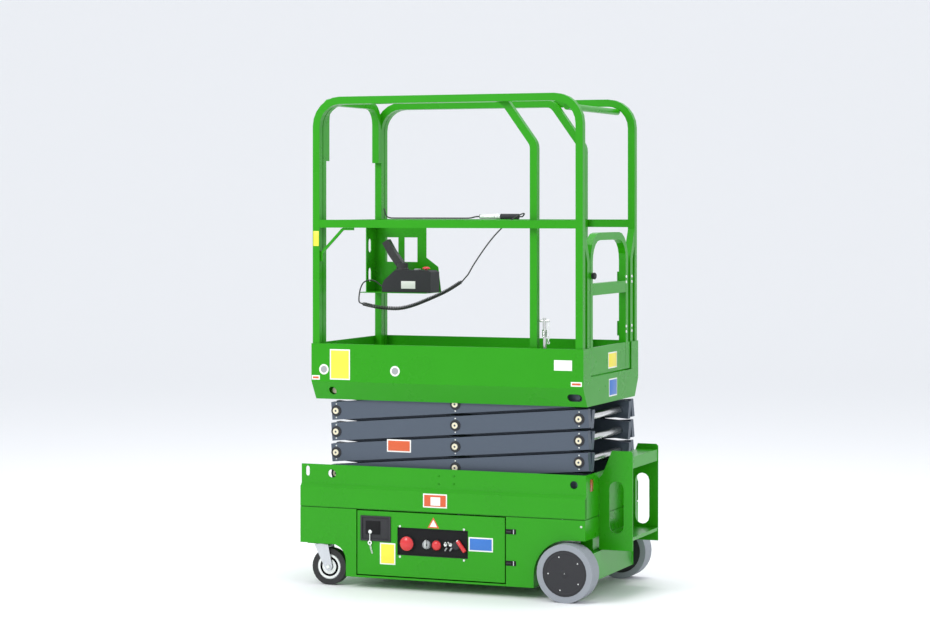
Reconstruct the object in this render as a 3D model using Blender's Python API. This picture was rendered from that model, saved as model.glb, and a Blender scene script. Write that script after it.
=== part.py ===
"""Mini self-propelled scissor lift, stowed. Metres, +Z up, origin at the bottom centre.

+X is the entry end with its ladder and gate, -Y is the side with the ground controls.
"""
import math

import bmesh
import bpy
from mathutils import Vector

for old in list(bpy.data.objects):
    bpy.data.objects.remove(old, do_unlink=True)

# ---------------------------------------------------------------- driving sizes
GAP = 0.0003            # between pieces that touch
PIN_PLAY = 0.0006       # between a pin and its bore
PLATE = 0.004           # sheet steel of chassis and platform

CHASSIS_LEFT = -0.6865
CHASSIS_RIGHT = 0.5465
CHASSIS_HALF = 0.338    # half width
CHASSIS_BOTTOM = 0.045
TUB_TOP = 0.320
SEAM = 0.004            # groove between the lower tub and the upper frame
LEDGE_Z = 0.403
LEDGE_SET_BACK = 0.013
RAIL_TOP = 0.495
CASTER_BAY_X = -0.4816
CASTER_BAY_Z = 0.174
CASTER_BAY_R = 0.065
ARCH_Z = 0.095
ARCH_R = 0.1445

WHEEL_X = 0.476
WHEEL_R = 0.115
WHEEL_WIDTH = 0.085
WHEEL_FACE_Y = 0.383
RIM_R = 0.091

CASTER_X = -0.573
CASTER_Y = 0.283
CASTER_R = 0.075
CASTER_WIDTH = 0.040
CASTER_HUB_R = 0.052
CASTER_TRAIL = 0.033
SWIVEL_TOP = 0.1697

ARM_PITCH = 1.054       # between an arm's end pivots
STOWED_DEG = 4.63
PIVOT_X = -0.546
BASE_PIVOT_Z = 0.457
LEVELS = 4
ARM_DEPTH = 0.073
ARM_THICK = 0.032
OUTER_ARM_Y = 0.290     # outer face of the outer arms
ARM_SPACE = 0.008       # between outer and inner arms
LEFT_NOSE = 0.021
RIGHT_NOSE = 0.039
TRACK_NOSE = 0.027      # where an arm ends inside a track
SHAFT_R = 0.014
CROSS_TUBE_R = 0.016
ROLLER_R = 0.0195

CYLINDER_FOOT = (-0.185, 0.158)
EYE_ALONG = 0.623       # along the inner arm from its top pivot
EYE_BELOW = 0.025
BARREL_R = 0.030
ROD_R = 0.016
EYE_R = 0.026
EYE_PIN_R = 0.012
EYE_DRIFT = 0.0025

TRAY_LEFT = -0.631
TRAY_RIGHT = 0.543
TRAY_HALF = 0.349
TRAY_TOP = 0.990
TRAY_KNEE = 0.836
TRAY_BOTTOM = 0.761
TRAY_SLOPE = 0.046
DECK_TOP = 0.868

TUBE = 0.030            # square guardrail tube
RAIL_TOP_Z = 1.995
RAIL_BEND = 0.120
MID_RAIL_Z = 1.478
SLIDE_GAP = 0.0055
CUT_HALF = 0.258        # half width of the entry
GATE_PLAY = 0.0055
GATE_TOP = 1.444
GATE_AXIS = (0.497, 0.236)

LADDER_RIGHT = 0.6865
LADDER_Y = 0.170

ARM_ANGLE = math.radians(STOWED_DEG)
RISE = ARM_PITCH * math.sin(ARM_ANGLE)
REACH = ARM_PITCH * math.cos(ARM_ANGLE)
SLIDER_X = PIVOT_X + REACH
TOP_PIVOT_Z = BASE_PIVOT_Z + LEVELS * RISE
INNER_ARM_Y = OUTER_ARM_Y - ARM_THICK - ARM_SPACE
POST_OUT = TRAY_HALF - PLATE - GAP
EXT_OUT = POST_OUT - TUBE - SLIDE_GAP
EXT_DECK_TOP = DECK_TOP + 0.008
GATE_BOTTOM = EXT_DECK_TOP + GATE_PLAY

# ---------------------------------------------------------------- materials
FINISHES = {  # name: (colour, roughness, metallic)
    "green_paint": ((0.04, 0.42, 0.02), 0.35, 0.0),
    "slate_paint": ((0.05, 0.07, 0.10), 0.45, 0.0),
    "steel": ((0.62, 0.62, 0.62), 0.30, 1.0),
    "zinc": ((0.60, 0.62, 0.65), 0.35, 1.0),
    "grey_tyre": ((0.25, 0.27, 0.30), 0.80, 0.0),
    "black_rubber": ((0.02, 0.02, 0.02), 0.70, 0.0),
    "black_plastic": ((0.02, 0.02, 0.025), 0.50, 0.0),
}


def finish(name):
    """The named finish as a Principled material."""
    made = bpy.data.materials.get(name)
    if made:
        return made
    colour, roughness, metallic = FINISHES[name]
    made = bpy.data.materials.new(name)
    made.use_nodes = True
    shader = made.node_tree.nodes["Principled BSDF"]
    shader.inputs["Base Color"].default_value = (*colour, 1.0)
    shader.inputs["Roughness"].default_value = roughness
    shader.inputs["Metallic"].default_value = metallic
    return made


# ---------------------------------------------------------------- shapes
def solid(name, bm, material=None):
    """An object from a bmesh, its faces pointing out."""
    bmesh.ops.recalc_face_normals(bm, faces=bm.faces)
    mesh = bpy.data.meshes.new(name)
    bm.to_mesh(mesh)
    bm.free()
    made = bpy.data.objects.new(name, mesh)
    bpy.context.scene.collection.objects.link(made)
    if material:
        mesh.materials.append(finish(material))
    return made


def prism(name, outline, axis, low, high, material=None):
    """An outline of (a, b) points, given in the plane across axis, run from low to high."""
    place = {
        "X": lambda a, b, c: (c, a, b),
        "Y": lambda a, b, c: (a, c, b),
        "Z": lambda a, b, c: (a, b, c),
    }[axis]
    bm = bmesh.new()
    first = bm.faces.new([bm.verts.new(place(a, b, low)) for a, b in outline])
    grown = bmesh.ops.extrude_face_region(bm, geom=[first])
    moved = [item for item in grown["geom"] if isinstance(item, bmesh.types.BMVert)]
    bmesh.ops.translate(bm, verts=moved, vec=Vector(place(0, 0, high - low)))
    return solid(name, bm, material)


def block(name, xs, ys, zs, material=None):
    """A box between two values on each axis."""
    outline = [(xs[0], ys[0]), (xs[1], ys[0]), (xs[1], ys[1]), (xs[0], ys[1])]
    return prism(name, outline, "Z", zs[0], zs[1], material)


def circle(centre, radius, sides=24, start=0.0, turn=360.0):
    """Points on a circle, or on the part of it that turns from start, in degrees."""
    count = sides if turn == 360.0 else sides + 1
    angles = [math.radians(start + turn * step / sides) for step in range(count)]
    return [(centre[0] + radius * math.cos(a), centre[1] + radius * math.sin(a)) for a in angles]


def disc(name, axis, centre, radius, low, high, material=None, sides=24):
    """A round bar along an axis; centre is (a, b) in the plane across it."""
    return prism(name, circle(centre, radius, sides), axis, low, high, material)


def slot_outline(centre, width, height, sides=6):
    """An upright slot with round ends."""
    r = width / 2
    half = height / 2 - r
    top = circle((centre[0], centre[1] + half), r, sides, 0, 180)
    bottom = circle((centre[0], centre[1] - half), r, sides, 180, 180)
    return top + bottom


def bent(points, radius, steps=4):
    """A 2-D path with each inner corner turned into an arc of the given radius."""
    path = [Vector(points[0])]
    for before, corner, after in zip(points, points[1:], points[2:]):
        corner = Vector(corner)
        back = (Vector(before) - corner).normalized()
        ahead = (Vector(after) - corner).normalized()
        half = back.angle(ahead) / 2
        run = radius / math.tan(half)
        centre = corner + (back + ahead).normalized() * (radius / math.sin(half))
        start = corner + back * run - centre
        sweep = math.pi - 2 * half
        side = 1 if back.x * ahead.y - back.y * ahead.x < 0 else -1
        for step in range(steps + 1):
            a = side * sweep * step / steps
            spun = (start.x * math.cos(a) - start.y * math.sin(a),
                    start.x * math.sin(a) + start.y * math.cos(a))
            path.append(centre + Vector(spun))
    path.append(Vector(points[-1]))
    return path


def tube(name, path, axis, middle, wide, deep, material=None):
    """A flat path of (a, b) points across axis, as a bar wide in the plane and deep along it."""
    left, right = [], []
    for index, point in enumerate(path):
        back = (point - path[index - 1]).normalized() if index else None
        ahead = (path[index + 1] - point).normalized() if index + 1 < len(path) else None
        along = ((back or ahead) + (ahead or back)).normalized()
        across = Vector((-along.y, along.x))
        reach = wide / 2 / max(along.dot(back or ahead), 0.2)
        left.append(tuple(point + across * reach))
        right.append(tuple(point - across * reach))
    return prism(name, left + right[::-1], axis, middle - deep / 2, middle + deep / 2, material)


def work(target, operation, tools):
    """Joins tools to the target, or cuts them from it, and keeps them as guides."""
    for tool in tools:
        change = target.modifiers.new(tool.name, "BOOLEAN")
        change.operation = operation
        change.solver = "EXACT"
        change.object = tool
        tool.hide_render = True
        tool.display_type = "WIRE"
    return target


def weld(target, *tools):
    return work(target, "UNION", tools)


def cut(target, *tools):
    return work(target, "DIFFERENCE", tools)


def pivot(name, place, parent=None):
    """An empty on a joint's axis."""
    made = bpy.data.objects.new(name, None)
    made.empty_display_size = 0.05
    bpy.context.scene.collection.objects.link(made)
    made.location = place
    if parent:
        made.parent = parent
        made.location = Vector(place) - world_place(parent)
    return made


def world_place(item):
    place = Vector(item.location)
    while item.parent:
        item = item.parent
        place += Vector(item.location)
    return place


def ride(parent, *items):
    """Parents items to an empty and leaves them where they are."""
    for item in items:
        item.location = Vector(item.location) - world_place(parent)
        item.parent = parent


SIDES = (("near", -1), ("far", 1))


def span(side, inner, outer):
    """The Y range of something between two distances from the middle."""
    return (side * inner, side * outer) if side > 0 else (side * outer, side * inner)


# ---------------------------------------------------------------- chassis tub
def side_outline(inset, floor, top):
    """The chassis side as (x, z), with its caster bay and drive wheel arch."""
    bay = circle((CASTER_BAY_X - CASTER_BAY_R, CASTER_BAY_Z - CASTER_BAY_R),
                 CASTER_BAY_R + inset, 5, 0, 90)
    arch = circle((WHEEL_X, ARCH_Z), ARCH_R + inset, 8, 180, -90)
    return ([(CHASSIS_LEFT + inset, top), (CHASSIS_LEFT + inset, CASTER_BAY_Z + inset)]
            + bay[::-1]
            + [(CASTER_BAY_X + inset, floor), (WHEEL_X - ARCH_R - inset, floor)]
            + arch
            + [(CHASSIS_RIGHT - inset, ARCH_Z + ARCH_R + inset), (CHASSIS_RIGHT - inset, top)])


DOOR_LEFT, DOOR_RIGHT = -0.430, 0.210
DOOR_BOTTOM, DOOR_TOP = 0.058, 0.316
DOOR_PLAY = 0.005

tub = prism("chassis_tub", side_outline(0.0, CHASSIS_BOTTOM, TUB_TOP), "Y",
            -CHASSIS_HALF, CHASSIS_HALF, "green_paint")
hollow = prism("tub_hollow", side_outline(PLATE, CHASSIS_BOTTOM + PLATE, TUB_TOP + 0.02), "Y",
               PLATE - CHASSIS_HALF, CHASSIS_HALF - PLATE)
doorway = block("doorway", (DOOR_LEFT - DOOR_PLAY, DOOR_RIGHT + DOOR_PLAY),
                (-1, 1), (DOOR_BOTTOM - DOOR_PLAY, TUB_TOP + 0.02))
cut(tub, hollow, doorway)
foot_x, foot_z = CYLINDER_FOOT
for label, side in SIDES:
    ear = block(f"cylinder_ear_{label}", (foot_x - 0.03, foot_x + 0.03),
                span(side, BARREL_R + 0.002, BARREL_R + 0.012), (CHASSIS_BOTTOM + PLATE - 0.001, foot_z + 0.03))
    cheek = block(f"swivel_pad_{label}", (CASTER_X - 0.085, CASTER_X + 0.015),
                  span(side, CASTER_Y - 0.045, CASTER_Y + 0.045),
                  (CASTER_BAY_Z - 0.004, CASTER_BAY_Z + 0.006))
    weld(tub, ear, cheek)
weld(tub, disc("foot_pin", "Y", CYLINDER_FOOT, EYE_PIN_R, -BARREL_R - 0.004, BARREL_R + 0.004, sides=16))

battery = block("battery_block", (0.02, 0.20), (-0.25, 0.25),
                (CHASSIS_BOTTOM + PLATE + GAP, 0.25), "black_plastic")

# ---------------------------------------------------------------- upper frame
rail_y = CHASSIS_HALF - LEDGE_SET_BACK
frame_low = TUB_TOP + SEAM


def band_outline(side):
    """A side band across X: skirt, ledge and upper rail, as (y, z)."""
    outer = [(CHASSIS_HALF, frame_low), (CHASSIS_HALF, LEDGE_Z), (rail_y, LEDGE_Z + 0.014),
             (rail_y, RAIL_TOP)]
    inner = [(rail_y - PLATE, RAIL_TOP), (rail_y - PLATE, LEDGE_Z + 0.011),
             (CHASSIS_HALF - PLATE, LEDGE_Z - 0.002), (CHASSIS_HALF - PLATE, frame_low)]
    return [(side * y, z) for y, z in outer + inner]


upper_frame = block("upper_frame", (CHASSIS_LEFT + PLATE, CHASSIS_RIGHT - PLATE),
                    (0.006 - CHASSIS_HALF, CHASSIS_HALF - 0.006),
                    (TUB_TOP + GAP, TUB_TOP + GAP + PLATE), "green_paint")
well = block("cylinder_well", (-0.32, 0.16), (-0.13, 0.13), (0.2, 0.4))
cut(upper_frame, well)
TRACK_LEFT = 0.055
EAR_TOP = BASE_PIVOT_Z + 0.022
ear_in = INNER_ARM_Y - ARM_THICK + 0.002
pivot_bore = disc("base_pivot_bore", "Y", (PIVOT_X, BASE_PIVOT_Z), SHAFT_R + PIN_PLAY, -1, 1)
for label, side in SIDES:
    band = prism(f"side_band_{label}", band_outline(side), "X", CHASSIS_LEFT, CHASSIS_RIGHT)
    floor_edge = block(f"floor_edge_{label}", (CHASSIS_LEFT + PLATE, CHASSIS_RIGHT - PLATE),
                       span(side, CHASSIS_HALF - 0.03, CHASSIS_HALF - 0.002),
                       (frame_low, frame_low + 0.005))
    pivot_ear = block(f"base_ear_{label}", (PIVOT_X - 0.03, PIVOT_X + 0.03),
                      span(side, ear_in, INNER_ARM_Y), (TUB_TOP + 0.002, EAR_TOP))
    track_floor = block(f"track_floor_{label}", (TRACK_LEFT, CHASSIS_RIGHT - 0.006),
                        span(side, OUTER_ARM_Y - ARM_THICK, rail_y - 0.001),
                        (BASE_PIVOT_Z - ROLLER_R - GAP - 0.006, BASE_PIVOT_Z - ROLLER_R - GAP))
    weld(upper_frame, band, floor_edge, pivot_ear, track_floor)
end_plate = block("entry_end_plate", (CHASSIS_RIGHT - PLATE, CHASSIS_RIGHT),
                  (0.002 - rail_y, rail_y - 0.002), (frame_low, RAIL_TOP))
left_plate = block("left_end_plate", (CHASSIS_LEFT, CHASSIS_LEFT + PLATE),
                   (0.001 - CHASSIS_HALF, CHASSIS_HALF - 0.001), (frame_low - 0.003, LEDGE_Z - 0.004))
weld(upper_frame, end_plate, left_plate)
LASHING = (-0.659, 0.466)
cut(upper_frame, pivot_bore,
    prism("lashing_holes", slot_outline(LASHING, 0.017, 0.041), "Y", -1, 1),
    disc("left_pin_hole", "Y", (PIVOT_X - 0.005, BASE_PIVOT_Z + 0.002), 0.0165, -1, 1))
for label, side in SIDES:
    hole = disc(f"right_pin_hole_{label}", "Y", (0.495, 0.456), 0.016,
                *span(side, rail_y - 0.02, rail_y + 0.02))
    cut(upper_frame, hole)

# ---------------------------------------------------------------- ladder and axle
STEP_IN = LADDER_Y - 0.001
ladder = block("entry_ladder", (CHASSIS_RIGHT + GAP + 0.002, LADDER_RIGHT), (-STEP_IN, STEP_IN),
               (0.236, 0.240), "green_paint")
LADDER_SIDE = [(CHASSIS_RIGHT + GAP, 0.186), (LADDER_RIGHT, 0.186), (LADDER_RIGHT, 0.572),
               (LADDER_RIGHT - 0.008, 0.580), (0.600, 0.580), (0.562, 0.487),
               (CHASSIS_RIGHT + GAP, 0.470)]
for label, side in SIDES:
    cheek = prism(f"ladder_side_{label}", LADDER_SIDE, "Y", *span(side, LADDER_Y - 0.005, LADDER_Y))
    weld(ladder, cheek)
weld(ladder,
     block("lower_lip", (LADDER_RIGHT - 0.006, LADDER_RIGHT - 0.002), (-STEP_IN, STEP_IN), (0.226, 0.2395)),
     block("upper_step", (0.600, LADDER_RIGHT - 0.002), (-STEP_IN, STEP_IN), (0.554, 0.558)),
     block("upper_lip", (LADDER_RIGHT - 0.006, LADDER_RIGHT - 0.002), (-STEP_IN, STEP_IN), (0.512, 0.5575)))
cut(ladder, prism("ladder_slots", slot_outline((0.6195, 0.356), 0.059, 0.208), "Y", -1, 1))

axle = block("drive_axle_box", (0.40, 0.552), (-0.255, 0.255), (0.070, 0.182), "green_paint")
for label, side in SIDES:
    motor = disc(f"motor_{label}", "Y", (WHEEL_X, WHEEL_R), 0.045, *span(side, 0.25, 0.290), sides=20)
    stub = disc(f"stub_axle_{label}", "Y", (WHEEL_X, WHEEL_R), 0.018, *span(side, 0.28, 0.340), sides=16)
    weld(axle, motor, stub)
weld(axle, block("axle_mount", (WHEEL_X + 0.004, CHASSIS_RIGHT - 0.016), (-0.20, 0.20),
                 (0.181, ARCH_Z + ARCH_R - GAP)))

# ---------------------------------------------------------------- wheels
for label, side in SIDES:
    hub_pivot = pivot(f"drive_wheel_{label}_axis", (WHEEL_X, side * WHEEL_FACE_Y, WHEEL_R))
    inner_face = WHEEL_FACE_Y - WHEEL_WIDTH
    tyre = disc(f"drive_tyre_{label}", "Y", (WHEEL_X, WHEEL_R), WHEEL_R,
                *span(side, inner_face, WHEEL_FACE_Y), "grey_tyre", 32)
    cut(tyre, disc(f"drive_tyre_bore_{label}", "Y", (WHEEL_X, WHEEL_R), RIM_R, -1, 1, sides=32))
    rim = disc(f"drive_rim_{label}", "Y", (WHEEL_X, WHEEL_R), RIM_R - GAP,
               *span(side, inner_face + 0.004, WHEEL_FACE_Y - 0.002), "black_plastic", 32)
    cut(rim, disc(f"drive_rim_bore_{label}", "Y", (WHEEL_X, WHEEL_R), 0.018 + PIN_PLAY,
                  *span(side, inner_face - 0.01, 0.3405), sides=16))
    ride(hub_pivot, tyre, rim)

    swivel_x = CASTER_X - CASTER_TRAIL
    swivel = pivot(f"caster_swivel_{label}_axis", (swivel_x, side * CASTER_Y, SWIVEL_TOP))
    fork_y = CASTER_WIDTH / 2 + 0.005
    fork = disc(f"caster_fork_{label}", "Z", (swivel_x, side * CASTER_Y), 0.030,
                SWIVEL_TOP - 0.012, SWIVEL_TOP, "zinc", 20)
    FORK_SIDE = [(swivel_x - 0.030, 0.1655), (swivel_x + 0.032, 0.1655), (CASTER_X + 0.018, CASTER_R),
                 (CASTER_X + 0.008, CASTER_R - 0.016), (CASTER_X - 0.010, CASTER_R - 0.014)]
    for name, lean in (("in", -1), ("out", 1)):
        y = sorted((side * CASTER_Y + lean * fork_y, side * CASTER_Y + lean * (fork_y + 0.004)))
        weld(fork, prism(f"fork_{name}_{label}", FORK_SIDE, "Y", *y))
    crown_y = (side * CASTER_Y - fork_y - 0.003, side * CASTER_Y + fork_y + 0.003)
    weld(fork, block(f"fork_crown_{label}", (swivel_x - 0.028, swivel_x + 0.028), crown_y, (0.1585, 0.1650)))
    weld(fork, disc(f"caster_axle_{label}", "Y", (CASTER_X, CASTER_R), 0.006,
                    side * CASTER_Y - fork_y - 0.006, side * CASTER_Y + fork_y + 0.006, sides=12))
    roll = pivot(f"caster_wheel_{label}_axis", (CASTER_X, side * CASTER_Y, CASTER_R), swivel)
    low, high = side * CASTER_Y - CASTER_WIDTH / 2, side * CASTER_Y + CASTER_WIDTH / 2
    caster_tyre = disc(f"caster_tyre_{label}", "Y", (CASTER_X, CASTER_R), CASTER_R, low, high,
                       "black_rubber", 28)
    cut(caster_tyre, disc(f"caster_tyre_bore_{label}", "Y", (CASTER_X, CASTER_R), CASTER_HUB_R, -1, 1, sides=28))
    hub = disc(f"caster_hub_{label}", "Y", (CASTER_X, CASTER_R), CASTER_HUB_R - GAP,
               low + 0.002, high - 0.002, "zinc", 28)
    cut(hub, disc(f"caster_hub_bore_{label}", "Y", (CASTER_X, CASTER_R), 0.006 + PIN_PLAY, -1, 1, sides=12))
    ride(swivel, fork)
    ride(roll, caster_tyre, hub)

# ---------------------------------------------------------------- side doors
for label, side in SIDES:
    hinge = pivot(f"side_door_{label}_axis", (DOOR_RIGHT, side * CHASSIS_HALF, DOOR_BOTTOM))
    door = block(f"side_door_{label}", (DOOR_LEFT, DOOR_RIGHT),
                 span(side, CHASSIS_HALF - 0.012, CHASSIS_HALF), (DOOR_BOTTOM, DOOR_TOP), "green_paint")
    cut(door, block(f"door_pan_{label}", (DOOR_LEFT + PLATE, DOOR_RIGHT - PLATE),
                    span(side, CHASSIS_HALF - 0.02, CHASSIS_HALF - PLATE),
                    (DOOR_BOTTOM + PLATE, DOOR_TOP - PLATE)))
    ride(hinge, door)
    if side < 0:
        PANEL = ((-0.254, 0.053), (0.144, 0.256))
        cut(door, block("control_window", PANEL[0], (-0.4, -0.3), PANEL[1]))
        panel = block("ground_controls", (PANEL[0][0] - 0.01, PANEL[0][1] + 0.01),
                      (-CHASSIS_HALF + PLATE + GAP, -CHASSIS_HALF + PLATE + GAP + 0.012),
                      (PANEL[1][0] - 0.01, PANEL[1][1] + 0.01), "black_plastic")
        cut(panel, block("panel_recess", (PANEL[0][0] + 0.002, PANEL[0][1] - 0.002),
                         (-0.4, -CHASSIS_HALF + PLATE + 0.009), (PANEL[1][0] + 0.002, PANEL[1][1] - 0.002)))
        BUTTONS = ((-0.2115, 0.192, 0.030), (-0.083, 0.193, 0.020), (0.000, 0.194, 0.016))  # x, z, r
        for index, (x, z, r) in enumerate(BUTTONS):
            weld(panel, disc(f"button_{index}", "Y", (x, z), r, -CHASSIS_HALF + 0.001, -CHASSIS_HALF + 0.014,
                             sides=16))
        ride(hinge, panel)

# ---------------------------------------------------------------- scissor
bore_r = SHAFT_R + PIN_PLAY
bodies_parent = None


def arm_outline(start, angle, nose=RIGHT_NOSE):
    """An arm's side as (x, z): start is its left pivot, angle its lean, nose its right end."""
    c, s = math.cos(angle), math.sin(angle)
    half = ARM_DEPTH / 2
    ends = ((-LEFT_NOSE, -half), (ARM_PITCH + nose, -half),
            (ARM_PITCH + nose, half), (-LEFT_NOSE, half))
    return [(start[0] + a * c - b * s, start[1] + a * s + b * c) for a, b in ends]


def arm_point(start, angle, along, above=0.0):
    c, s = math.cos(angle), math.sin(angle)
    return (start[0] + along * c - above * s, start[1] + along * s + above * c)


for level in range(1, LEVELS + 1):
    low_left = (PIVOT_X, BASE_PIVOT_Z + (level - 1) * RISE)
    high_left = (PIVOT_X, BASE_PIVOT_Z + level * RISE)
    centre = arm_point(low_left, ARM_ANGLE, ARM_PITCH / 2)
    high_right = arm_point(low_left, ARM_ANGLE, ARM_PITCH)
    low_right = arm_point(high_left, -ARM_ANGLE, ARM_PITCH)

    outer_axis = pivot(f"outer_arms_{level}_axis", (low_left[0], 0, low_left[1]), bodies_parent)
    outer = disc(f"outer_arms_{level}", "Y", low_left, SHAFT_R,
                 -OUTER_ARM_Y - 0.006, OUTER_ARM_Y + 0.006, "slate_paint", 16)
    weld(outer, disc(f"outer_centre_shaft_{level}", "Y", centre, SHAFT_R,
                     -OUTER_ARM_Y - 0.006, OUTER_ARM_Y + 0.006, sides=16))
    if level < LEVELS:
        weld(outer, disc(f"outer_right_shaft_{level}", "Y", high_right, SHAFT_R,
                         -OUTER_ARM_Y - 0.006, OUTER_ARM_Y + 0.006, sides=16))
    for label, side in SIDES:
        nose = TRACK_NOSE if level == LEVELS else RIGHT_NOSE
        beam = prism(f"outer_beam_{level}_{label}", arm_outline(low_left, ARM_ANGLE, nose), "Y",
                     *span(side, OUTER_ARM_Y - ARM_THICK, OUTER_ARM_Y))
        weld(outer, beam)
        if level == LEVELS:
            weld(outer,
                 disc(f"top_roller_{label}", "Y", high_right, ROLLER_R,
                      *span(side, INNER_ARM_Y - 0.024, INNER_ARM_Y - 0.001), sides=20),
                 disc(f"top_pin_{label}", "Y", high_right, 0.010,
                      *span(side, INNER_ARM_Y - 0.020, OUTER_ARM_Y + 0.010), sides=12))
    ride(outer_axis, outer)

    inner_axis = pivot(f"inner_arms_{level}_axis", (centre[0], 0, centre[1]), outer_axis)
    tube_along = (0.20, 0.85)
    first_tube = arm_point(high_left, -ARM_ANGLE, tube_along[0])
    second_tube = arm_point(high_left, -ARM_ANGLE, tube_along[1])
    inner_reach = INNER_ARM_Y - ARM_THICK + 0.001
    inner = disc(f"inner_arms_{level}", "Y", first_tube, CROSS_TUBE_R,
                 -inner_reach, inner_reach, "slate_paint", 16)
    weld(inner, disc(f"inner_second_tube_{level}", "Y", second_tube, CROSS_TUBE_R,
                     -inner_reach, inner_reach, sides=16))
    for label, side in SIDES:
        nose = TRACK_NOSE if level == 1 else RIGHT_NOSE
        beam = prism(f"inner_beam_{level}_{label}", arm_outline(high_left, -ARM_ANGLE, nose), "Y",
                     *span(side, INNER_ARM_Y - ARM_THICK, INNER_ARM_Y))
        bores = [disc(f"inner_bore_{name}_{level}_{label}", "Y", spot, bore_r,
                      *span(side, INNER_ARM_Y - 0.06, INNER_ARM_Y + 0.02), sides=16)
                 for name, spot in (("centre", centre), ("left", high_left), ("right", low_right))
                 if not (name == "left" and level == LEVELS) and not (name == "right" and level == 1)]
        cut(beam, *bores)
        weld(inner, beam)
    if level == 1:
        for label, side in SIDES:
            weld(inner,
                 disc(f"base_roller_{label}", "Y", low_right, ROLLER_R,
                      *span(side, OUTER_ARM_Y - ARM_THICK + 0.001, OUTER_ARM_Y), sides=20),
                 disc(f"base_pin_{label}", "Y", low_right, 0.010,
                      *span(side, INNER_ARM_Y - 0.002, OUTER_ARM_Y + 0.010), sides=12))
        eye = arm_point(high_left, -ARM_ANGLE, EYE_ALONG, -EYE_BELOW)
        weld(inner, disc("lift_pin", "Y", eye, EYE_PIN_R, -inner_reach, inner_reach, sides=16))
    if level == LEVELS:
        weld(inner, disc("platform_shaft", "Y", high_left, SHAFT_R,
                         -OUTER_ARM_Y - 0.010, OUTER_ARM_Y + 0.010, sides=16))
    ride(inner_axis, inner)
    bodies_parent = inner_axis

# ---------------------------------------------------------------- lift cylinder
EYE_CENTRE = arm_point((PIVOT_X, BASE_PIVOT_Z + RISE), -ARM_ANGLE, EYE_ALONG, -EYE_BELOW)
foot = Vector(CYLINDER_FOOT)
head = Vector(EYE_CENTRE)
lean = (head - foot).normalized()
BARREL_TOP = 0.325
ROD_TIP = (head - foot).length


def round_along(name, start, stop, radius, material=None, sides=20):
    """A round bar on the cylinder's own axis."""
    bm = bmesh.new()
    bmesh.ops.create_cone(bm, cap_ends=True, segments=sides, radius1=radius, radius2=radius,
                          depth=stop - start)
    middle = foot + lean * ((start + stop) / 2)
    direction = Vector((lean.x, 0, lean.y))
    turn = Vector((0, 0, 1)).rotation_difference(direction).to_matrix()
    for vert in bm.verts:
        vert.co = turn @ vert.co + Vector((middle.x, 0, middle.y))
    return solid(name, bm, material)


barrel_axis = pivot("cylinder_barrel_axis", (foot.x, 0, foot.y))
barrel = round_along("cylinder_barrel", 0.022, BARREL_TOP, BARREL_R, "slate_paint")
weld(barrel, disc("barrel_eye", "Y", tuple(foot), EYE_R, -0.022, 0.022, sides=20))
cut(barrel, disc("barrel_pin_bore", "Y", tuple(foot), EYE_PIN_R + PIN_PLAY, -1, 1, sides=16),
    round_along("barrel_bore", 0.045, BARREL_TOP + 0.02, ROD_R + PIN_PLAY, sides=16))
rod_axis = pivot("cylinder_rod_axis", (foot.x, 0, foot.y), barrel_axis)
rod = round_along("cylinder_rod", 0.050, ROD_TIP - 0.018, ROD_R, "steel", 16)
weld(rod, disc("rod_eye", "Y", tuple(head), EYE_R, -0.020, 0.020, sides=20))
cut(rod, disc("rod_pin_bore", "Y", tuple(head), EYE_PIN_R + EYE_DRIFT, -1, 1, sides=16))
ride(barrel_axis, barrel)
ride(rod_axis, rod)

# ---------------------------------------------------------------- platform
platform_axis = pivot("platform_axis", (PIVOT_X, 0, TOP_PIVOT_Z), bodies_parent)
slope_out = TRAY_HALF - TRAY_SLOPE
half_section = [(slope_out, TRAY_BOTTOM), (TRAY_HALF, TRAY_KNEE), (TRAY_HALF, TRAY_TOP),
                (TRAY_HALF - PLATE, TRAY_TOP), (TRAY_HALF - PLATE, DECK_TOP)]
inside = [(TRAY_HALF - PLATE, DECK_TOP - PLATE), (TRAY_HALF - PLATE, TRAY_KNEE + 0.001),
          (slope_out - PLATE, TRAY_BOTTOM)]
section = (half_section + [(-y, z) for y, z in half_section[::-1]]
           + [(-y, z) for y, z in inside[::-1]] + inside)
tray = prism("platform_tray", section, "X", TRAY_LEFT, TRAY_RIGHT, "green_paint")
END_LOW = [(slope_out - 0.001, TRAY_BOTTOM), (TRAY_HALF - 0.001, TRAY_KNEE),
           (TRAY_HALF - 0.001, DECK_TOP - 0.001)]
low_end = END_LOW + [(-y, z) for y, z in END_LOW[::-1]]
SILL = END_LOW[:2] + [(TRAY_HALF - 0.001, GATE_BOTTOM - GATE_PLAY)]
entry_end = SILL + [(-y, z) for y, z in SILL[::-1]]
weld(tray,
     prism("tray_left_end", low_end, "X", TRAY_LEFT, TRAY_LEFT + PLATE),
     prism("tray_entry_end", entry_end, "X", TRAY_RIGHT - PLATE, TRAY_RIGHT))
ear_y = (OUTER_ARM_Y - ARM_THICK + 0.004, OUTER_ARM_Y - 0.008)
top_bore = disc("platform_pivot_bore", "Y", (PIVOT_X, TOP_PIVOT_Z), SHAFT_R + PIN_PLAY, -1, 1)
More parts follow.
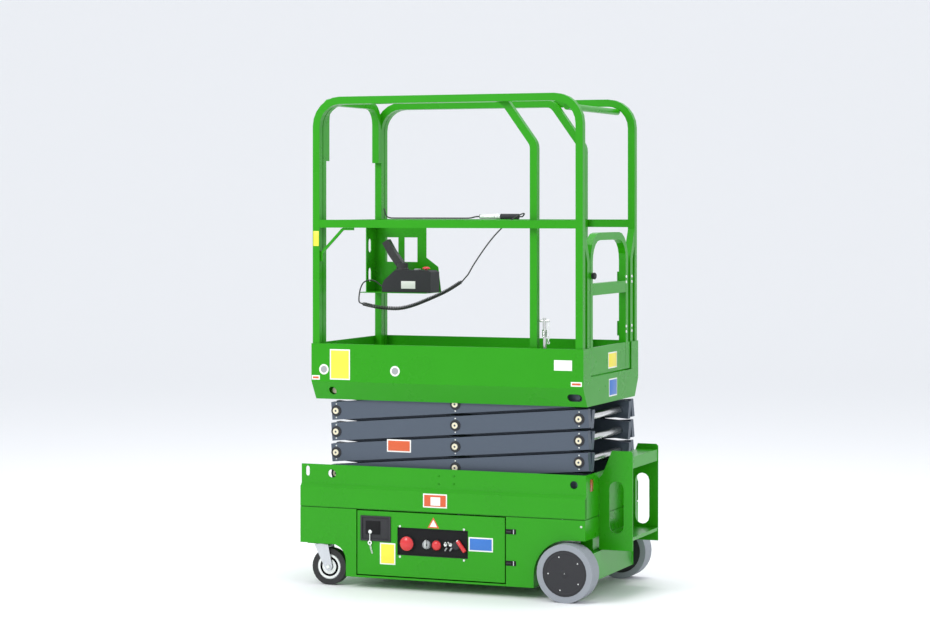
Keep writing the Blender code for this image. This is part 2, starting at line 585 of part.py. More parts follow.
for label, side in SIDES:
    entry_wing = block(f"entry_wing_{label}", (TRAY_RIGHT - PLATE, TRAY_RIGHT),
                       span(side, CUT_HALF, TRAY_HALF - 0.001), (DECK_TOP - 0.002, TRAY_TOP))
    platform_ear = block(f"platform_ear_{label}", (PIVOT_X - 0.03, PIVOT_X + 0.03),
                         span(side, *ear_y), (TOP_PIVOT_Z - 0.022, DECK_TOP - 0.002))
    roller_y = (INNER_ARM_Y - 0.026, INNER_ARM_Y)
    track = block(f"platform_track_roof_{label}", (TRACK_LEFT, TRAY_RIGHT - PLATE + 0.001),
                  span(side, *roller_y), (TOP_PIVOT_Z + ROLLER_R + GAP, DECK_TOP - 0.002))
    weld(tray, entry_wing, platform_ear, track)
cut(tray, top_bore,
    disc("tray_pin_hole", "Y", (PIVOT_X, TOP_PIVOT_Z), 0.0165, -1, 1))
entry_slot = [(x, z) for z, x in slot_outline((TOP_PIVOT_Z, 0.499), 0.030, 0.062)]
for label, side in SIDES:
    cut(tray, prism(f"tray_slot_{label}", entry_slot, "Y",
                    *span(side, OUTER_ARM_Y + 0.004, 0.4)))

# ---------------------------------------------------------------- main guardrails
POST_BOTTOM = DECK_TOP + GAP
rail_left = TRAY_LEFT + PLATE + TUBE / 2
rail_right = TRAY_RIGHT - PLATE - GAP - TUBE / 2
top_mid = RAIL_TOP_Z - TUBE / 2
for label, side in SIDES:
    post_y = side * (POST_OUT - TUBE / 2)
    path = bent([(rail_left, POST_BOTTOM), (rail_left, top_mid), (rail_right, top_mid),
                 (rail_right, POST_BOTTOM)], RAIL_BEND - TUBE / 2, 6)
    rail = tube(f"guardrail_{label}", path, "Y", post_y, TUBE, TUBE, "green_paint")
    mid = block(f"mid_rail_{label}", (rail_left, rail_right),
                (post_y - TUBE / 2 + 0.0005, post_y + TUBE / 2 - 0.0005),
                (MID_RAIL_Z - 0.016, MID_RAIL_Z + 0.016))
    jamb_mid = CUT_HALF + TUBE / 2
    jamb_path = bent([(side * jamb_mid, POST_BOTTOM), (side * jamb_mid, 1.335),
                      (side * (POST_OUT - TUBE / 2), 1.45)], 0.06, 3)
    jamb = tube(f"gate_jamb_{label}", jamb_path, "X", rail_right, TUBE, TUBE - 0.001)
    weld(rail, mid, jamb)
    ride(platform_axis, rail)

CROSS_BAR = (0.462, 1.9415)
cross_half = POST_OUT - TUBE - GAP
cross_bar = disc("entry_cross_bar", "Y", CROSS_BAR, 0.013, -cross_half, cross_half, "green_paint", 16)

brace_y = -(POST_OUT - TUBE / 2)
brace_path = bent([(rail_left + TUBE / 2 + GAP + 0.005, 1.325), (rail_left + TUBE / 2 + GAP + 0.005, 1.360),
                   (-0.498, MID_RAIL_Z - 0.016 - GAP - 0.005), (-0.450, MID_RAIL_Z - 0.016 - GAP - 0.005)],
                  0.015, 3)
brace = tube("rail_brace", brace_path, "Y", brace_y, 0.010, 0.010, "green_paint")
ride(platform_axis, tray, cross_bar, brace)

# ---------------------------------------------------------------- entry gate
gate_axis = pivot("entry_gate_axis", (*GATE_AXIS, DECK_TOP), platform_axis)
gate_x = rail_right
near_leg, far_leg = -CUT_HALF + GATE_PLAY + TUBE / 2, CUT_HALF - 0.032 - TUBE / 2
gate_path = bent([(near_leg, GATE_BOTTOM), (near_leg, GATE_TOP - TUBE / 2),
                  (far_leg, GATE_TOP - TUBE / 2), (far_leg, GATE_BOTTOM)], 0.10, 5)
gate = tube("entry_gate", gate_path, "X", gate_x, TUBE, TUBE, "green_paint")
weld(gate,
     block("gate_bar", (gate_x - 0.0145, gate_x + 0.0145), (near_leg, far_leg), (1.196, 1.243)),
     block("kick_panel", (gate_x + 0.008, gate_x + 0.0145), (-CUT_HALF + GATE_PLAY, CUT_HALF - GATE_PLAY),
           (GATE_BOTTOM, TRAY_TOP)))
for z in (1.045, 1.249):
    weld(gate,
         disc(f"hinge_spring_{z}", "Z", GATE_AXIS, 0.009, z - 0.030, z + 0.030, sides=12),
         block(f"hinge_leaf_{z}", (GATE_AXIS[0], gate_x - TUBE / 2 + 0.002), (far_leg, GATE_AXIS[1]),
               (z - 0.025, z + 0.025)))
latch = disc("gate_latch", "X", (near_leg + 0.005, 1.274), 0.012, gate_x + TUBE / 2 + GAP,
             gate_x + TUBE / 2 + 0.003, "black_plastic", 16)
ride(gate_axis, gate, latch)

# ---------------------------------------------------------------- roll-out extension
slide = pivot("extension_axis", (TRAY_LEFT, 0, EXT_DECK_TOP), platform_axis)
EXT_REAR = 0.342
ext_deck = block("extension_deck", (TRAY_LEFT + GAP, EXT_REAR), (-EXT_OUT, EXT_OUT),
                 (EXT_DECK_TOP - PLATE, EXT_DECK_TOP), "green_paint")
for label, side in SIDES:
    weld(ext_deck, block(f"slide_strip_{label}", (TRAY_LEFT + 0.02, EXT_REAR - 0.02),
                         span(side, EXT_OUT - 0.05, EXT_OUT - 0.01),
                         (DECK_TOP + GAP, EXT_DECK_TOP - PLATE + 0.001)))
weld(ext_deck, block("extension_toe", (TRAY_LEFT, TRAY_LEFT + PLATE), (-EXT_OUT, EXT_OUT),
                     (DECK_TOP + 0.004, TRAY_TOP)))
ride(slide, ext_deck)

EXT_FOOT = EXT_DECK_TOP + GAP
ext_left = TRAY_LEFT + PLATE + GAP + TUBE / 2
for label, side in SIDES:
    ext_y = side * (EXT_OUT - TUBE / 2)
    path = (bent([(ext_left, EXT_FOOT), (ext_left, top_mid), (0.10, top_mid)], RAIL_BEND - TUBE / 2, 6)[:-1]
            + bent([(0.10, top_mid), (0.186, top_mid), (0.320, 1.795), (0.320, EXT_FOOT)], 0.05, 3))
    ext_rail = tube(f"extension_rail_{label}", path, "Y", ext_y, TUBE, TUBE, "green_paint")
    weld(ext_rail, block(f"extension_mid_{label}", (ext_left, 0.320),
                         (ext_y - TUBE / 2 + 0.0005, ext_y + TUBE / 2 - 0.0005),
                         (MID_RAIL_Z - 0.016, MID_RAIL_Z + 0.016)))
    ride(slide, ext_rail)

leg_y = EXT_OUT - TUBE - GAP - TUBE / 2
end_path = bent([(-leg_y, 1.735), (-leg_y, top_mid), (leg_y, top_mid), (leg_y, 1.735)], 0.08, 5)
end_rail = tube("extension_end_rail", end_path, "X", ext_left, TUBE, TUBE, "green_paint")
end_bar = block("extension_end_bar", (ext_left - 0.0145, ext_left + 0.0145),
                (-(EXT_OUT - TUBE - GAP), EXT_OUT - TUBE - GAP), (MID_RAIL_Z - 0.015, MID_RAIL_Z + 0.015),
                "green_paint")
lock = disc("deck_lock", "Z", (0.362, -(EXT_OUT - TUBE / 2)), 0.007, DECK_TOP + GAP, 1.108, "zinc", 12)
ride(slide, end_rail, end_bar)
ride(platform_axis, lock)

# ---------------------------------------------------------------- platform controls
BRACKET_BACK = EXT_OUT - TUBE - GAP
bracket = block("control_bracket", (-0.625, -0.385), (BRACKET_BACK - 0.004, BRACKET_BACK),
                (1.181, 1.459), "green_paint")
TRAY_FRONT = 0.120
weld(bracket,
     prism("bracket_flare", [(-0.386, 1.181), (-0.316, 1.181), (-0.330, 1.290), (-0.386, 1.330)], "Y",
           BRACKET_BACK - 0.0035, BRACKET_BACK - 0.0005),
     block("bracket_tray", (-0.625, -0.320), (TRAY_FRONT, BRACKET_BACK - 0.001), (1.1805, 1.184)),
     block("bracket_side", (-0.6255, -0.6215), (0.180, BRACKET_BACK - 0.001), (1.1807, 1.4585)))
cut(bracket,
    block("bracket_window", (-0.487, -0.426), (0.2, 0.3), (1.310, 1.415)),
    block("bracket_window_left", (-0.575, -0.515), (0.2, 0.3), (1.310, 1.415)),
    prism("bracket_oval_low", slot_outline((0.215, 1.255), 0.030, 0.060), "X", -0.7, -0.6),
    prism("bracket_oval_high", slot_outline((0.215, 1.380), 0.030, 0.060), "X", -0.7, -0.6))
BOX_Y = (0.132, 0.228)
control_box = prism("control_box", [(-0.529, 1.1845), (-0.305, 1.1845), (-0.305, 1.270), (-0.318, 1.278),
                                    (-0.470, 1.278), (-0.520, 1.235), (-0.529, 1.215)], "Y", *BOX_Y,
                    "black_plastic")
STICK = (-0.455, 0.180)
stick = disc("joystick", "Z", STICK, 0.024, 1.278 + GAP, 1.308, "black_rubber", 16)
handle_path = [Vector((-0.462, 1.300)), Vector((-0.500, 1.350)), Vector((-0.530, 1.400))]
weld(stick, tube("joystick_handle", handle_path, "Y", STICK[1], 0.032, 0.030))
ride(slide, bracket, control_box, stick)


# ---------------------------------------------------------------- cords
def smooth(points, spacing):
    """Points a spacing apart on a Catmull-Rom curve through the given ones."""
    spots = [Vector(point) for point in points]
    spots = [2 * spots[0] - spots[1]] + spots + [2 * spots[-1] - spots[-2]]
    dense = []
    for p0, p1, p2, p3 in zip(spots, spots[1:], spots[2:], spots[3:]):
        for step in range(20):
            t = step / 20
            dense.append(0.5 * (2 * p1 + (p2 - p0) * t + (2 * p0 - 5 * p1 + 4 * p2 - p3) * t * t
                                + (3 * p1 - p0 - 3 * p2 + p3) * t ** 3))
    dense.append(spots[-2])
    total = sum((b - a).length for a, b in zip(dense, dense[1:]))
    count = max(2, round(total / spacing))
    chosen = [dense[0]]
    walked, target = 0.0, total / count
    for before, after in zip(dense, dense[1:]):
        walked += (after - before).length
        if walked >= target * len(chosen) - 1e-9 and len(chosen) < count:
            chosen.append(after)
    chosen.append(dense[-1])
    return chosen


def cord(name, points, radius, spacing, material="black_rubber", resolution=2):
    curve = bpy.data.curves.new(name, "CURVE")
    curve.dimensions = "3D"
    curve.bevel_depth = radius
    curve.bevel_resolution = resolution
    curve.use_fill_caps = True
    spline = curve.splines.new("POLY")
    route = smooth(points, spacing)
    spline.points.add(len(route) - 1)
    for point, spot in zip(spline.points, route):
        point.co = (*spot, 1.0)
    curve.materials.append(finish(material))
    made = bpy.data.objects.new(name, curve)
    bpy.context.scene.collection.objects.link(made)
    return made


PLUG_Z = MID_RAIL_Z + 0.016 + GAP + 0.0115
PLUG_Y = EXT_OUT - TUBE / 2
LEAD_R = 0.003
COIL_R = 0.009
LEAD_A = [(-0.5293, 0.165, 1.205), (-0.537, 0.165, 1.205), (-0.548, 0.164, 1.211),
          (-0.568, 0.159, 1.227), (-0.592, 0.148, 1.234),
          (-0.614, 0.132, 1.224), (-0.622, 0.116, 1.198), (-0.622, 0.102, 1.166), (-0.6180, 0.0930, 1.1450),
          (-0.6110, 0.0900, 1.1386), (-0.6060, 0.0900, 1.1372)]
COIL = [(-0.6050, 0.090, 1.1369), (-0.552, 0.090, 1.126), (-0.501, 0.095, 1.119), (-0.436, 0.105, 1.118),
        (-0.380, 0.118, 1.131), (-0.318, 0.135, 1.156), (-0.242, 0.155, 1.192), (-0.177, 0.175, 1.234)]
LEAD_B = [(-0.1765, 0.1752, 1.2346), (-0.154, 0.182, 1.262), (-0.130, 0.193, 1.308), (-0.091, 0.210, 1.371),
          (-0.056, 0.224, 1.420), (-0.019, 0.240, 1.462), (0.020, 0.258, 1.497), (0.050, 0.276, 1.516),
          (0.058, 0.290, 1.5178), (0.048, PLUG_Y, PLUG_Z), (0.0325, PLUG_Y, PLUG_Z)]
lead_a = cord("cord_lead_box", LEAD_A, LEAD_R, 0.007)
coil = cord("cord_coil", COIL, COIL_R, 0.022, resolution=3)
lead_b = cord("cord_lead_plug", LEAD_B, LEAD_R, 0.012)
plug = disc("cord_plug", "X", (PLUG_Y, PLUG_Z), 0.0115, -0.049, 0.032, "black_plastic", 16)
weld(plug, disc("plug_shell", "X", (PLUG_Y, PLUG_Z), 0.0095, -0.145, -0.045, sides=16))
MAIN = [(-0.1453, PLUG_Y, PLUG_Z), (-0.165, PLUG_Y, 1.5045), (-0.190, PLUG_Y, 1.4990),
        (-0.230, PLUG_Y, 1.4982),
        (-0.400, PLUG_Y, 1.4982), (-0.540, PLUG_Y, 1.4982), (-0.566, PLUG_Y, 1.5000), (-0.580, PLUG_Y, 1.5080),
        (-0.5860, PLUG_Y, 1.5250), (-0.5908, PLUG_Y, 1.5400)]
main = cord("main_cable", MAIN, LEAD_R, 0.010)
ride(slide, lead_a, coil, lead_b, plug, main)

for item in bpy.data.objects:
    if item.type == "MESH" and not item.hide_render:
        item.data.shade_smooth()
        item.data.set_sharp_from_angle(angle=math.radians(35))
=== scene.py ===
"""Looks of the mini scissor lift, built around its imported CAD. Row frame, metres, +Z up."""
import math

import bpy
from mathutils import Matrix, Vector


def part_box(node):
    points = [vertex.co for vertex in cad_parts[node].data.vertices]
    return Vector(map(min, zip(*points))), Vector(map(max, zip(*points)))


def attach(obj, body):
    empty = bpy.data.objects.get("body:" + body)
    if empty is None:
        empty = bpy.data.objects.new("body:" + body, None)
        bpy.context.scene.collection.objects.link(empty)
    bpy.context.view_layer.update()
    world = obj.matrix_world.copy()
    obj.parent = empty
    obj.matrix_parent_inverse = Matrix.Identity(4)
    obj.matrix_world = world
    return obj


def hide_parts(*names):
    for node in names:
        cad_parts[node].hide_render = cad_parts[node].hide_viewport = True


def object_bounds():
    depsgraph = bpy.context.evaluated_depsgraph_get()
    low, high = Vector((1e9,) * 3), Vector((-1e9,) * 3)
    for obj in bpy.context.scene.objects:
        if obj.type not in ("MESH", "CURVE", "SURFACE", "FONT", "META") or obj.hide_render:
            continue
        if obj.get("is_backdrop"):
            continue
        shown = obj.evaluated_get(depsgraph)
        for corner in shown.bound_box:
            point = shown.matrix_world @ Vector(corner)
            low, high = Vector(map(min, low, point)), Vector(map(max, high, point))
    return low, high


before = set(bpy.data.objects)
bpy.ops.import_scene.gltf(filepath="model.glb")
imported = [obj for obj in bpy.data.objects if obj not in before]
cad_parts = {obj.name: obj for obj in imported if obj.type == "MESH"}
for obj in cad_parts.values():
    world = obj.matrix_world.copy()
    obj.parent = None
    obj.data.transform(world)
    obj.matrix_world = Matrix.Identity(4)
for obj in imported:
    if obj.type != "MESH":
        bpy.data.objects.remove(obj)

loaded_box = [list(corner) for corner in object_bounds()]

# ------------------------------------------------------------------ camera
# A long lens at eye height from the entry side, level, with its picture shifted
# down so that the upright edges of the machine stay upright.
scene = bpy.context.scene
camera = bpy.data.objects.new("camera", bpy.data.cameras.new("camera"))
scene.collection.objects.link(camera)
camera.location = (3.639, -9.296, 1.552)
camera.rotation_euler = (math.radians(90), 0, math.radians(21.886))
camera.data.lens = 93.78
camera.data.sensor_width = 36
camera.data.shift_y = -0.1123
scene.camera = camera

# ------------------------------------------------------------------ studio
# A pale floor swept up behind the machine, a large soft key over the left
# shoulder, a weaker fill from the entry side and a pale sky all round.
scene.view_settings.view_transform = "Standard"
world = bpy.data.worlds.new("studio")
world.use_nodes = True
world.node_tree.nodes["Background"].inputs["Color"].default_value = (0.93, 0.96, 1.0, 1)
world.node_tree.nodes["Background"].inputs["Strength"].default_value = 0.95
scene.world = world

bpy.ops.mesh.primitive_plane_add(size=40)
floor = bpy.context.object
floor.name = "studio_floor"
bpy.ops.object.mode_set(mode="EDIT")
bpy.ops.mesh.select_mode(type="EDGE")
bpy.ops.mesh.select_all(action="DESELECT")
bpy.ops.object.mode_set(mode="OBJECT")
for edge in floor.data.edges:
    edge.select = all(floor.data.vertices[index].co.y > 1 for index in edge.vertices)
bpy.ops.object.mode_set(mode="EDIT")
bpy.ops.mesh.extrude_region_move(TRANSFORM_OT_translate={"value": (0, 0, 24)})
bpy.ops.object.mode_set(mode="OBJECT")
sweep = floor.modifiers.new("sweep", "BEVEL")
sweep.width = 9
sweep.segments = 16
sweep.limit_method = "ANGLE"
bpy.ops.object.modifier_apply(modifier="sweep")
bpy.ops.object.shade_smooth()
pale = bpy.data.materials.new("studio_pale")
pale.use_nodes = True
pale.node_tree.nodes["Principled BSDF"].inputs["Base Color"].default_value = (0.93, 0.93, 0.94, 1)
pale.node_tree.nodes["Principled BSDF"].inputs["Roughness"].default_value = 0.6
floor.data.materials.append(pale)
floor.rotation_euler = (0, 0, math.radians(21.886))
floor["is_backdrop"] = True

LIGHTS = (  # name, place, size, watts
    ("key", (-2.6, -5.2, 4.6), 3.0, 215),
    ("fill", (5.0, -2.5, 2.6), 3.0, 30),
    ("top", (0.3, 0.6, 5.2), 2.6, 120),
)
for name, place, size, watts in LIGHTS:
    lamp = bpy.data.objects.new(name, bpy.data.lights.new(name, "AREA"))
    scene.collection.objects.link(lamp)
    lamp.location = place
    lamp.data.size = size
    lamp.data.energy = watts
    lamp.rotation_euler = (Vector((0, 0, 0.9)) - Vector(place)).to_track_quat("-Z", "Y").to_euler()


# ------------------------------------------------------------------ cord
# The control box hangs on a rubber cord: a straight lead, a stretch curled like
# a telephone's, and a lead up to the round plug on the far mid rail.
def uneven(name):
    """A node group: faint patches, fine grain and dust on upward faces, from the piece's own coordinates."""
    made = bpy.data.node_groups.get(name)
    if made:
        return made
    made = bpy.data.node_groups.new(name, "ShaderNodeTree")
    face = made.interface
    face.new_socket("Colour", in_out="INPUT", socket_type="NodeSocketColor")
    for label, value in (("Roughness", 0.4), ("Patches", 0.1), ("Grain", 0.1), ("Grain scale", 300.0),
                         ("Dust", 0.1)):
        face.new_socket(label, in_out="INPUT", socket_type="NodeSocketFloat").default_value = value
    face.new_socket("Colour", in_out="OUTPUT", socket_type="NodeSocketColor")
    face.new_socket("Roughness", in_out="OUTPUT", socket_type="NodeSocketFloat")
    face.new_socket("Normal", in_out="OUTPUT", socket_type="NodeSocketVector")
    nodes, link = made.nodes, made.links.new
    taken = nodes.new("NodeGroupInput")
    given = nodes.new("NodeGroupOutput")
    place = nodes.new("ShaderNodeTexCoord")

    def cloud(scale, detail):
        noise = nodes.new("ShaderNodeTexNoise")
        noise.inputs["Detail"].default_value = detail
        if isinstance(scale, float):
            noise.inputs["Scale"].default_value = scale
        else:
            link(scale, noise.inputs["Scale"])
        link(place.outputs["Object"], noise.inputs["Vector"])
        return noise.outputs["Fac"]

    def sums(operation, first, second):
        made_node = nodes.new("ShaderNodeMath")
        made_node.operation = operation
        for socket, value in zip(made_node.inputs, (first, second)):
            if isinstance(value, float):
                socket.default_value = value
            else:
                link(value, socket)
        return made_node.outputs["Value"]

    patches = cloud(5.0, 4.0)
    swing = sums("MULTIPLY", sums("SUBTRACT", patches, 0.5), taken.outputs["Patches"])
    shade = nodes.new("ShaderNodeHueSaturation")
    link(taken.outputs["Colour"], shade.inputs["Color"])
    link(sums("ADD", swing, 1.0), shade.inputs["Value"])
    turned = nodes.new("ShaderNodeSeparateXYZ")
    shape = nodes.new("ShaderNodeNewGeometry")
    link(shape.outputs["Normal"], turned.inputs["Vector"])
    upward = sums("MAXIMUM", turned.outputs["Z"], 0.15)
    specks = sums("MULTIPLY", cloud(38.0, 8.0), cloud(7.0, 3.0))
    dust = sums("MULTIPLY", sums("MULTIPLY", specks, upward), taken.outputs["Dust"])
    dusty = nodes.new("ShaderNodeMix")
    dusty.data_type = "RGBA"
    link(dust, dusty.inputs["Factor"])
    link(shade.outputs["Color"], dusty.inputs["A"])
    dusty.inputs["B"].default_value = (0.45, 0.43, 0.38, 1)
    link(dusty.outputs["Result"], given.inputs["Colour"])
    dulled = sums("ADD", sums("ADD", taken.outputs["Roughness"], sums("MULTIPLY", swing, 0.6)), dust)
    link(dulled, given.inputs["Roughness"])
    bump = nodes.new("ShaderNodeBump")
    bump.inputs["Distance"].default_value = 0.0004
    link(taken.outputs["Grain"], bump.inputs["Strength"])
    link(cloud(taken.outputs["Grain scale"], 3.0), bump.inputs["Height"])
    link(bump.outputs["Normal"], given.inputs["Normal"])
    return made


def surface(name, colour, roughness, metallic=0.0, coat=0.0, patches=0.1, grain=0.1, grain_scale=300.0,
            dust=0.05, specular=0.5):
    """A Principled material on the shared uneven group."""
    made = bpy.data.materials.get(name)
    if made:
        return made
    made = bpy.data.materials.new(name)
    made.use_nodes = True
    nodes, link = made.node_tree.nodes, made.node_tree.links.new
    shader = nodes["Principled BSDF"]
    shader.inputs["Metallic"].default_value = metallic
    shader.inputs["Specular IOR Level"].default_value = specular
    shader.inputs["Coat Weight"].default_value = coat
    shader.inputs["Coat Roughness"].default_value = 0.08
    skin = nodes.new("ShaderNodeGroup")
    skin.node_tree = uneven("uneven")
    skin.inputs["Colour"].default_value = (*colour, 1)
    for label, value in (("Roughness", roughness), ("Patches", patches), ("Grain", grain),
                         ("Grain scale", grain_scale), ("Dust", dust)):
        skin.inputs[label].default_value = value
    link(skin.outputs["Colour"], shader.inputs["Base Color"])
    link(skin.outputs["Roughness"], shader.inputs["Roughness"])
    link(skin.outputs["Normal"], shader.inputs["Normal"])
    return made


cord_rubber = surface("cord_rubber", (0.018, 0.016, 0.015), 0.42, grain=0.3, grain_scale=900.0)


def smooth(points, spacing):
    """Points about a spacing apart on a Catmull-Rom curve through the given ones."""
    spots = [Vector(point) for point in points]
    spots = [2 * spots[0] - spots[1]] + spots + [2 * spots[-1] - spots[-2]]
    dense = []
    for p0, p1, p2, p3 in zip(spots, spots[1:], spots[2:], spots[3:]):
        steps = max(1, round((p2 - p1).length / spacing))
        for step in range(steps):
            t = step / steps
            dense.append(0.5 * (2 * p1 + (p2 - p0) * t + (2 * p0 - 5 * p1 + 4 * p2 - p3) * t * t
                                + (3 * p1 - p0 - 3 * p2 + p3) * t ** 3))
    dense.append(spots[-2])
    return dense


def curl(points, radius, pitch):
    """A helix of that radius and pitch round a route, eased in and out over its first and last turn."""
    route = smooth(points, 0.001)
    runs = [0.0]
    for before, after in zip(route, route[1:]):
        runs.append(runs[-1] + (after - before).length)
    turns = round(runs[-1] / pitch)
    wound = []
    upright = Vector((0, 0, 1))
    for index, (spot, run) in enumerate(zip(route, runs)):
        ahead = (route[min(index + 1, len(route) - 1)] - route[max(index - 1, 0)]).normalized()
        across = ahead.cross(upright).normalized()
        rise = across.cross(ahead)
        turn = math.tau * turns * run / runs[-1]
        eased = min(1.0, run / (1.5 * pitch), (runs[-1] - run) / (1.5 * pitch))
        wound.append(spot + (across * math.sin(turn) + rise * math.cos(turn)) * radius * eased)
    return wound


CORD_R = 0.003
LEAD_A = [(-0.5293, 0.165, 1.205), (-0.537, 0.165, 1.205), (-0.548, 0.164, 1.211), (-0.568, 0.159, 1.227),
          (-0.592, 0.148, 1.234), (-0.614, 0.132, 1.224), (-0.622, 0.116, 1.198), (-0.622, 0.102, 1.166),
          (-0.6180, 0.0930, 1.1450), (-0.6110, 0.0900, 1.1386)]
COIL = [(-0.6050, 0.090, 1.1369), (-0.552, 0.090, 1.126), (-0.501, 0.095, 1.119), (-0.436, 0.105, 1.118),
        (-0.380, 0.118, 1.131), (-0.318, 0.135, 1.156), (-0.242, 0.155, 1.192), (-0.177, 0.175, 1.234)]
PLUG_Y, PLUG_Z = 0.2942, 1.5058
LEAD_B = [(-0.154, 0.182, 1.262), (-0.130, 0.193, 1.308), (-0.091, 0.210, 1.371), (-0.056, 0.224, 1.420),
          (-0.019, 0.240, 1.462), (0.020, 0.258, 1.497), (0.050, 0.276, 1.516), (0.058, 0.290, 1.5178),
          (0.048, PLUG_Y, PLUG_Z), (0.0325, PLUG_Y, PLUG_Z)]
wound = smooth(LEAD_A, 0.004) + curl(COIL, 0.006, 0.0075) + smooth(LEAD_B, 0.004)
curve = bpy.data.curves.new("control_cord", "CURVE")
curve.dimensions = "3D"
curve.bevel_depth = CORD_R
curve.bevel_resolution = 2
curve.use_fill_caps = True
spline = curve.splines.new("POLY")
spline.points.add(len(wound) - 1)
for point, spot in zip(spline.points, wound):
    point.co = (*spot, 1)
curve.materials.append(cord_rubber)
control_cord = bpy.data.objects.new("control_cord", curve)
scene.collection.objects.link(control_cord)
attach(control_cord, "extension")
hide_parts("cord_lead_box", "cord_coil", "cord_lead_plug")

# ------------------------------------------------------------------ finishes of the CAD pieces
# Bright green powder coat on chassis and platform, slate paint on the arms, plated
# steel, solid grey drive tyres, black rubber and plastic. Sheet edges are rolled.
green = surface("green_powder_coat", (0.020, 0.285, 0.002), 0.28, coat=0.08, patches=0.10, grain=0.05,
                grain_scale=500.0, dust=0.02, specular=0.22)
slate = surface("slate_paint", (0.030, 0.042, 0.062), 0.32, coat=0.1, patches=0.2, grain=0.12, dust=0.08)
steel = surface("ground_steel", (0.70, 0.70, 0.69), 0.24, metallic=1.0, patches=0.15, grain=0.05)
zinc = surface("zinc_plate", (0.60, 0.62, 0.65), 0.36, metallic=0.9, patches=0.25, grain=0.1)
grey_tyre = surface("grey_tyre", (0.16, 0.185, 0.22), 0.62, patches=0.2, grain=0.35, grain_scale=420.0, dust=0.3)
black_tyre = surface("black_tyre", (0.012, 0.012, 0.013), 0.6, patches=0.2, grain=0.3, dust=0.2)
black = surface("black_plastic", (0.004, 0.004, 0.005), 0.46, grain=0.3, grain_scale=900.0, dust=0.0,
                specular=0.14)

KEPT = {  # material: CAD nodes, with the width of their rolled edges
    green: (("chassis_tub", 0.0016), ("upper_frame", 0.0016), ("entry_ladder", 0.0016),
            ("drive_axle_box", 0.002), ("side_door_near", 0.0016), ("side_door_far", 0.0016),
            ("platform_tray", 0.0016), ("guardrail_near", 0.004), ("guardrail_far", 0.004),
            ("entry_cross_bar", 0.0), ("rail_brace", 0.002), ("entry_gate", 0.0035),
            ("extension_deck", 0.001), ("extension_rail_near", 0.004), ("extension_rail_far", 0.004),
            ("extension_end_rail", 0.004), ("extension_end_bar", 0.004), ("control_bracket", 0.001)),
    slate: tuple((f"{kind}_arms_{level}", 0.003) for kind in ("outer", "inner") for level in range(1, 5))
    + (("cylinder_barrel", 0.002),),
    steel: (("cylinder_rod", 0.002), ("deck_lock", 0.002)),
    zinc: (("caster_fork_near", 0.001), ("caster_fork_far", 0.001), ("caster_hub_near", 0.003),
           ("caster_hub_far", 0.003)),
    grey_tyre: (("drive_tyre_near", 0.007), ("drive_tyre_far", 0.007)),
    black_tyre: (("caster_tyre_near", 0.006), ("caster_tyre_far", 0.006)),
    cord_rubber: (("main_cable", 0.0), ("joystick", 0.003)),
    black: (("battery_block", 0.004), ("drive_rim_near", 0.002), ("drive_rim_far", 0.002),
            ("ground_controls", 0.001), ("gate_latch", 0.001), ("control_box", 0.006), ("cord_plug", 0.002)),
}
for material, pieces in KEPT.items():
    for name, edge in pieces:
        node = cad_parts[name]
        node.data.materials.clear()
        node.data.materials.append(material)
        if edge:
            rolled = node.modifiers.new("rolled_edges", "BEVEL")
            rolled.width = edge
            rolled.segments = 3
            rolled.limit_method = "ANGLE"
            rolled.angle_limit = math.radians(40)
            rolled.harden_normals = True

# ------------------------------------------------------------------ latch recess and ground controls
# The near door has a black latch recess with a hanging key, and a sunk panel with
# an emergency stop, a key switch, a second button, two toggles and a red lever.
def finished(piece, material, body, edge=0.0, segments=2):
    """Applies the piece's place and rounded edges, paints it and lets it ride on a body."""
    bpy.ops.object.select_all(action="DESELECT")
    piece.select_set(True)
    bpy.context.view_layer.objects.active = piece
    bpy.ops.object.transform_apply(location=True, rotation=True, scale=True)
    if edge:
        rounding = piece.modifiers.new("rounding", "BEVEL")
        rounding.width = edge
        rounding.segments = segments
        bpy.ops.object.modifier_apply(modifier="rounding")
    bpy.ops.object.shade_smooth_by_angle(angle=math.radians(35))
    piece.data.materials.clear()
    piece.data.materials.append(material)
    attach(piece, body)
    return piece


def slab(name, low, high, material, body, edge=0.0):
    """A box between two corners."""
    middle = [(a + b) / 2 for a, b in zip(low, high)]
    bpy.ops.mesh.primitive_cube_add(size=1, location=middle)
    piece = bpy.context.object
    piece.name = name
    piece.scale = [b - a for a, b in zip(low, high)]
    return finished(piece, material, body, edge)


def turned(name, centre, direction, profile, material, body, steps=28, start=0.0):
    """A profile of (radius, height) points turned, from an angle, about centre's line along direction."""
    mesh = bpy.data.meshes.new(name)
    first = math.radians(start)
    mesh.from_pydata([(r * math.cos(first), r * math.sin(first), h) for r, h in profile], [(i, i + 1) for i in range(len(profile) - 1)], [])
    piece = bpy.data.objects.new(name, mesh)
    scene.collection.objects.link(piece)
    bpy.ops.object.select_all(action="DESELECT")
    piece.select_set(True)
    bpy.context.view_layer.objects.active = piece
    bpy.ops.object.mode_set(mode="EDIT")
    bpy.ops.mesh.select_all(action="SELECT")
    bpy.ops.mesh.spin(steps=steps, angle=math.tau, center=(0, 0, 0), axis=(0, 0, 1))
    bpy.ops.mesh.select_all(action="SELECT")
    bpy.ops.mesh.remove_doubles(threshold=0.00001)
    bpy.ops.mesh.normals_make_consistent(inside=False)
    bpy.ops.object.mode_set(mode="OBJECT")
    piece.rotation_euler = Vector(direction).to_track_quat("Z", "Y").to_euler()
    piece.location = centre
    return finished(piece, material, body)


